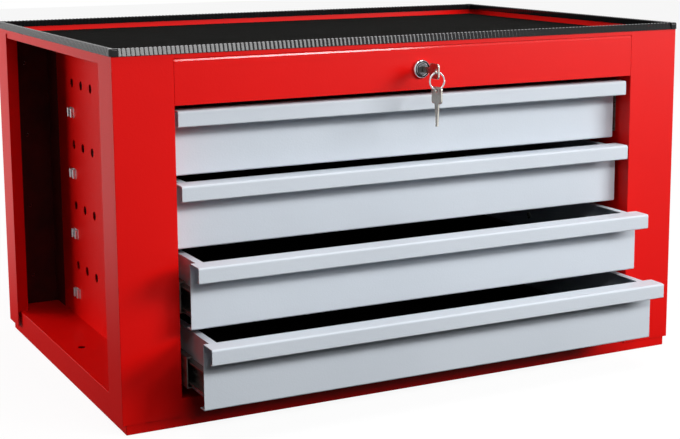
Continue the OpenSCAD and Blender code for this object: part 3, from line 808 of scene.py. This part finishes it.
def grooved_mat(node, name, groove_pitch, depth):
    """A mat in the box of a CAD node; ridge, flanks and bottom are shares of the pitch."""
    lo, hi = (Vector(c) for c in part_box(node))
    grooves = round((hi.y - lo.y) / groove_pitch)
    pitch = (hi.y - lo.y) / grooves
    bpy.ops.object.select_all(action="DESELECT")
    bpy.ops.mesh.primitive_plane_add(size=1, location=(0, lo.y + pitch * RIDGE / 2, hi.z))
    bpy.ops.transform.resize(value=(hi.x - lo.x, pitch * RIDGE, 1))
    mat = named(name)
    pick(mat, "EDGE", lambda e: near(middle(e).y, lo.y + pitch * RIDGE, 0.01 * MM))
    for along, down in ((FLANK, -depth), (BOTTOM, 0), (FLANK, depth)):
        bpy.ops.mesh.extrude_edges_move(TRANSFORM_OT_translate={"value": (0, pitch * along, down)})
    bpy.ops.object.mode_set(mode="OBJECT")
    use_modifier(mat, "ARRAY", count=grooves, use_relative_offset=False, use_constant_offset=True,
                 constant_offset_displace=(0, pitch, 0), use_merge_vertices=True, merge_threshold=0.01 * MM)
    pick(mat, "EDGE", lambda e: len(e.link_faces) == 1)
    bpy.ops.mesh.extrude_edges_move(TRANSFORM_OT_translate={"value": (0, 0, -depth)})
    bpy.ops.transform.resize(value=(1, 1, 0), center_override=(0, 0, lo.z))
    bpy.ops.mesh.edge_face_add()
    bpy.ops.mesh.select_all(action="SELECT")
    bpy.ops.mesh.normals_make_consistent(inside=False)
    bpy.ops.object.mode_set(mode="OBJECT")
    dress(mat, mat_rubber, node)
    print(name, grooves, "grooves,", len(mat.data.polygons), "faces")


grooved_mat("top_mat", "top_mat_grooved", 3.0 * MM, 0.5 * MM)
for n in DRAWERS:
    grooved_mat(f"drawer_{n}_liner", f"drawer_{n}_liner_grooved", 6.0 * MM, 0.6 * MM)


# %% [markdown]
# ## The lock
# The lock is turned from brass and chrome plated: a bezel with a raised rim, a ring groove whose
# near-black colour is painted shade, and a threaded barrel behind the panel. Turned parts are made as on
# a lathe. A circle is the first ring, and every next ring is an extrusion that is moved along the axis
# and scaled to its radius.

# %% Lathe helper and bezel
def turned(name, centre, rings, segments=64):
    """Turns a closed profile of (radius, station) rings, in millimetres, about the Y axis."""
    bpy.ops.object.select_all(action="DESELECT")
    r0, y0 = rings[0]
    bpy.ops.mesh.primitive_circle_add(vertices=segments, radius=r0 * MM, rotation=(math.pi / 2, 0, 0),
                                      location=(centre.x, centre.y + y0 * MM, centre.z))
    obj = named(name)
    pick(obj, "EDGE", lambda e: True)
    for radius, station in rings[1:] + rings[:1]:
        bpy.ops.mesh.extrude_edges_move(TRANSFORM_OT_translate={"value": (0, (station - y0) * MM, 0)})
        bpy.ops.transform.resize(value=(radius / r0, 1, radius / r0), center_override=centre)
        r0, y0 = radius, station
    bpy.ops.mesh.select_all(action="SELECT")
    bpy.ops.mesh.remove_doubles(threshold=0.005 * MM)
    bpy.ops.mesh.normals_make_consistent(inside=False)
    bpy.ops.object.mode_set(mode="OBJECT")
    smooth_over(obj, 40)
    return obj


housing_lo, housing_hi = (Vector(c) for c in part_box("lock_housing"))
lock_face = Vector((0, housing_lo.y, (housing_lo.z + housing_hi.z) / 2))
barrel_end = (housing_hi.y - housing_lo.y) / MM
THREAD_R, ROOT_R, THREAD_PITCH, THREAD_START, THREADS = 8.95, 8.35, 1.4, 4.6, 14
GROOVE_IN, GROOVE_OUT, BORE_R = 7.1, 8.48, 6.05
thread = []
for k in range(THREADS):
    crest = THREAD_START + THREAD_PITCH * k
    thread += [(THREAD_R, crest), (ROOT_R, crest + THREAD_PITCH / 2)]
plug_rim = [(BORE_R, 0.9), (6.2, 0.45), (6.8, 0.1), (GROOVE_IN, 0.3)]
groove = [(7.2, 1.4), (8.4, 1.4), (8.5, 0.25)]
outer_rim = [(8.7, 0.0), (9.2, 0.3), (9.8, 1.2), (10.15, 2.4), (10.2, 3.3), (10.2, 4.0), (THREAD_R, 4.0)]
barrel = [ring for ring in thread if ring[1] < barrel_end - 0.6] + [(8.6, barrel_end), (BORE_R, barrel_end)]
bezel = turned("lock_bezel", lock_face, plug_rim + groove + outer_rim + barrel)
dress(bezel, chrome, "lock_housing")


def in_shaded_groove(face):
    radius = (face.center - lock_face).xz.length / MM
    return GROOVE_IN < radius < GROOVE_OUT and face.center.y < lock_face.y + 2 * MM


# The ring groove gets the painted shade.
second_finish(bezel, groove_shade_steel, in_shaded_groove)
# The plug's face gets the near-black steel as painted shade.
soft_copy("lock_plug", "lock_plug_turned", lock_steel, 0.35 * MM, 0.15 * MM)

# %% [markdown]
# ## Keys and ring
# A flat key is stamped from nickel-plated strip. Its edge is broken, and the press leaves a raised rim
# round both faces of the bow and blade, which an inset makes. The second key is a copy with a narrower
# blade, and it hangs from the ring with the blade down. The ring is a split ring, a flat wire in almost
# two turns, made with the Screw modifier from its cross-section.

# %% Key in the lock
KEY_BREAK, RIM_W, RIM_SLOPE, RIM_H = 0.3 * MM, 0.45 * MM, 0.12 * MM, 0.2 * MM
key = clean_copy("key", "key_stamped")
round_edges(key, KEY_BREAK, KEY_BREAK, thickness=0, segments=2)
pick(key, "FACE", lambda f: abs(f.normal.x) > 0.99)
bpy.ops.mesh.quads_convert_to_tris()
bpy.ops.mesh.inset(thickness=RIM_W, depth=0)
bpy.ops.mesh.inset(thickness=RIM_SLOPE, depth=-RIM_H)
bpy.ops.object.mode_set(mode="OBJECT")
keep_within(key, "key", 0.01 * MM)
smooth_over(key)

# %% Spare key
KEY_TWIST, BLADE_START, BLADE_SHARE = math.radians(9), 20 * MM, 0.46
BOW_HOLE_R, HOLE_TO_END, RING_WIRE, HANG_GAP = 2.2 * MM, 4.0 * MM, 1.6 * MM, 0.25 * MM
key_lo, key_hi = (Vector(c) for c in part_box("key"))
ring_lo, ring_hi = (Vector(c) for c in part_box("key_ring"))
ring_mid = (ring_lo + ring_hi) / 2
spare = copied(key, "spare_key_stamped", (0, -key_lo.y, -(key_lo.z + key_hi.z) / 2))
pick(spare, "VERT", lambda v: v.co.y > BLADE_START)
bpy.ops.transform.resize(value=(1, 1, BLADE_SHARE), center_override=(0, 0, 0))
only(spare)
spare.rotation_euler = (-math.pi / 2, 0, KEY_TWIST)
hole_top = ring_lo.z + RING_WIRE + HANG_GAP
spare.location = (ring_mid.x, ring_mid.y, hole_top - BOW_HOLE_R + HOLE_TO_END)
bpy.ops.object.transform_apply(location=True, rotation=True, scale=True)
dress(key, key_metal, "key")
dress(spare, key_metal, "key_ring", stands_for=False)
heights = [v.co.z / MM for v in spare.data.vertices]
print("spare key from z", round(min(heights), 1), "to", round(max(heights), 1), "mm")

# %% Split ring
WIRE_T, TURNS = 0.74 * MM, 1.9
ring_r = (ring_hi.x - ring_lo.x) / 2 - RING_WIRE / 2
bpy.ops.object.select_all(action="DESELECT")
bpy.ops.mesh.primitive_plane_add(size=1, location=(ring_r, -WIRE_T * TURNS / 2, 0))
bpy.ops.transform.resize(value=(RING_WIRE, WIRE_T, 1))
ring = named("key_split_ring")
pick(ring, "VERT", lambda v: True)
bpy.ops.mesh.bevel(affect="VERTICES", offset=0.25 * MM, segments=3)
bpy.ops.mesh.select_all(action="SELECT")
bpy.ops.mesh.delete(type="ONLY_FACE")
bpy.ops.object.mode_set(mode="OBJECT")
use_modifier(ring, "SCREW", axis="Y", angle=TURNS * 2 * math.pi, screw_offset=WIRE_T * TURNS * 1.03,
             steps=160, render_steps=160)
for far in (False, True):
    pick(ring, "EDGE", lambda e: len(e.link_faces) == 1 and (middle(e).y > 0) == far)
    bpy.ops.mesh.edge_face_add()
bpy.ops.mesh.select_all(action="SELECT")
bpy.ops.mesh.normals_make_consistent(inside=False)
bpy.ops.object.mode_set(mode="OBJECT")
ring.location = ring_mid
only(ring)
bpy.ops.object.transform_apply(location=True, rotation=True, scale=True)
smooth_over(ring, 50)
dress(ring, chrome, "key_ring")
print("ring", [round(v / MM, 2) for v in ring.dimensions], len(ring.data.polygons), "faces")

# %% [markdown]
# ## Slides, rivets and the lock gear
# The telescopic slides are rolled from zinc-plated strip. Here they get a dark steel finish, with light
# edges, and their hooks pass through the slots of the recess wall and show as bright bars. The copies
# get fine rounded edges, and the faces of the hooks, which reach into and through the wall, get the
# bright zinc.

# %% Slides
wall_inside = Vector(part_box("inner_panel_right")[1]).x - SHEET
for n in DRAWERS:
    for member in ("outer", "middle", "inner"):
        node = f"drawer_{n}_slide_{member}"
        rail = soft_copy(node, node + "_rolled", slide_steel, 0.8 * MM, 0.18 * MM, segments=2)
        if member == "outer":
            second_finish(rail, zinc, lambda face: abs(face.center.x) > wall_inside)
    soft_copy(f"drawer_{n}_slide_rivets", f"drawer_{n}_slide_rivet_heads", zinc, 0.8 * MM, 0.2 * MM)
for node in ("lock_nut", "lock_rod", "lock_crank", "rod_bracket", "lock_bar", "lock_bar_guides"):
    soft_copy(node, node + "_plated", zinc, 0.5 * MM, 0.2 * MM, segments=2)

# %% [markdown]
# ## Back screws
# Eight pan-head screws hold the back panel. One is turned: a drive recess, the round pan and a short
# shank. The other seven are copies, set on the places of the CAD screws. The shank ends in the hole of
# the post and gets the near-black coat of the post's inside, as painted shade, so only the heads keep
# the bright zinc.

# %% Loose parts of a node
def loose_boxes(node):
    """Lowest and highest corner of each loose part of a CAD node."""
    parts = bmesh.new()
    parts.from_mesh(NODE[node].data)
    bmesh.ops.remove_doubles(parts, verts=parts.verts, dist=0.01 * MM)
    left, boxes = set(parts.verts), []
    while left:
        group, edge = set(), [left.pop()]
        while edge:
            vert = edge.pop()
            group.add(vert)
            edge += [o for e in vert.link_edges if (o := e.other_vert(vert)) in left and not left.discard(o)]
        boxes.append(tuple(Vector(f(v.co[k] for v in group) for k in range(3)) for f in (min, max)))
    parts.free()
    return boxes


# %% Pan heads
SHANK_R, SHANK_END, TIP_R = 1.7, 1.6, 0.2
back_face = Vector(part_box("back_panel")[1]).y
screw_boxes = loose_boxes("back_screws")
head_h = (screw_boxes[0][1].y - back_face) / MM
head_r = (screw_boxes[0][1].x - screw_boxes[0][0].x) / 2 / MM
recess = [(TIP_R, head_h - 1.2), (1.1, head_h - 0.5), (1.5, head_h)]
dome = [(0.55 * head_r, head_h), (0.8 * head_r, 0.9 * head_h), (0.95 * head_r, 0.6 * head_h),
        (head_r, 0.2 * head_h), (head_r, 0.05)]
shank = [(SHANK_R, 0.05), (SHANK_R, -SHANK_END), (TIP_R, -SHANK_END)]
pan = turned("back_screw_heads", Vector((0, back_face, 0)), recess + dome + shank, segments=24)
pan.data.materials.append(zinc)
# The shank gets painted shade, as dark as the post's inside.
second_finish(pan, painted_shade_coat, lambda face: face.center.y < back_face - 0.2 * MM)
heads = []
for k, (lo, hi) in enumerate(screw_boxes):
    spot = (lo + hi) / 2
    heads.append(copied(pan, f"back_screw_{k + 1}", (spot.x, 0, spot.z)))
only(pan)
bpy.ops.object.delete()
for head in heads:
    head.select_set(True)
bpy.context.view_layer.objects.active = heads[0]
bpy.ops.object.join()
screws = bpy.context.object
screws.name = screws.data.name = "back_screw_heads"
dress(screws, None, "back_screws")
print("screws:", len(heads), "heads of radius", round(head_r, 2), "mm,", len(screws.data.polygons), "faces")

# %% [markdown]
# ## Ball rows
# Between the slide members run rows of steel balls in thin cages. The CAD model has only a few balls
# in each row. Here every row gets its full set: one ball of a few faces is repeated by Array along
# a thin strip with broken edges. The places of the rows are read from the loose parts of the CAD node.

# %% Full rows of balls
BALL_R, BALL_PITCH, CAGE_W, CAGE_T = 1.4 * MM, 6.0 * MM, 2.4 * MM, 0.8 * MM
SHORTEST_STRIP = 10 * MM
for n in DRAWERS:
    node, rows = f"drawer_{n}_ball_cages", []
    strips = [(lo, hi) for lo, hi in loose_boxes(node) if hi.y - lo.y > SHORTEST_STRIP]
    for lo, hi in strips:
        spot, count = (lo + hi) / 2, int((hi.y - lo.y - 2 * BALL_R) / BALL_PITCH)
        bpy.ops.object.select_all(action="DESELECT")
        bpy.ops.mesh.primitive_uv_sphere_add(segments=8, ring_count=6, radius=BALL_R,
                                             location=(spot.x, spot.y - (count - 1) * BALL_PITCH / 2, spot.z))
        ball = named(f"drawer_{n}_ball_row")
        use_modifier(ball, "ARRAY", count=count, use_relative_offset=False, use_constant_offset=True,
                     constant_offset_displace=(0, BALL_PITCH, 0))
        bpy.ops.object.shade_smooth()
        bpy.ops.mesh.primitive_cube_add(size=1, location=spot)
        bpy.ops.transform.resize(value=(CAGE_W, hi.y - lo.y, CAGE_T))
        cage = named(f"drawer_{n}_cage_strip")
        pick(cage, "EDGE", lambda edge: True)
        bpy.ops.mesh.bevel(offset=0.2 * MM, segments=2)
        bpy.ops.object.mode_set(mode="OBJECT")
        bpy.ops.object.shade_smooth()
        rows += [ball, cage]
    for obj in rows:
        obj.select_set(True)
    bpy.context.view_layer.objects.active = rows[0]
    bpy.ops.object.join()
    rows[0].name = rows[0].data.name = f"drawer_{n}_ball_rows"
    dress(rows[0], slide_steel, node)
    print(rows[0].name, len(strips), "rows,", len(rows[0].data.polygons), "faces")

# %% [markdown]
# Last, we measure the dressed chest and keep its box next to the CAD's, so that both can be compared.

size = {"cad": [list(corner) for corner in cad_bounds], "visual": [list(corner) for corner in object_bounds()]}
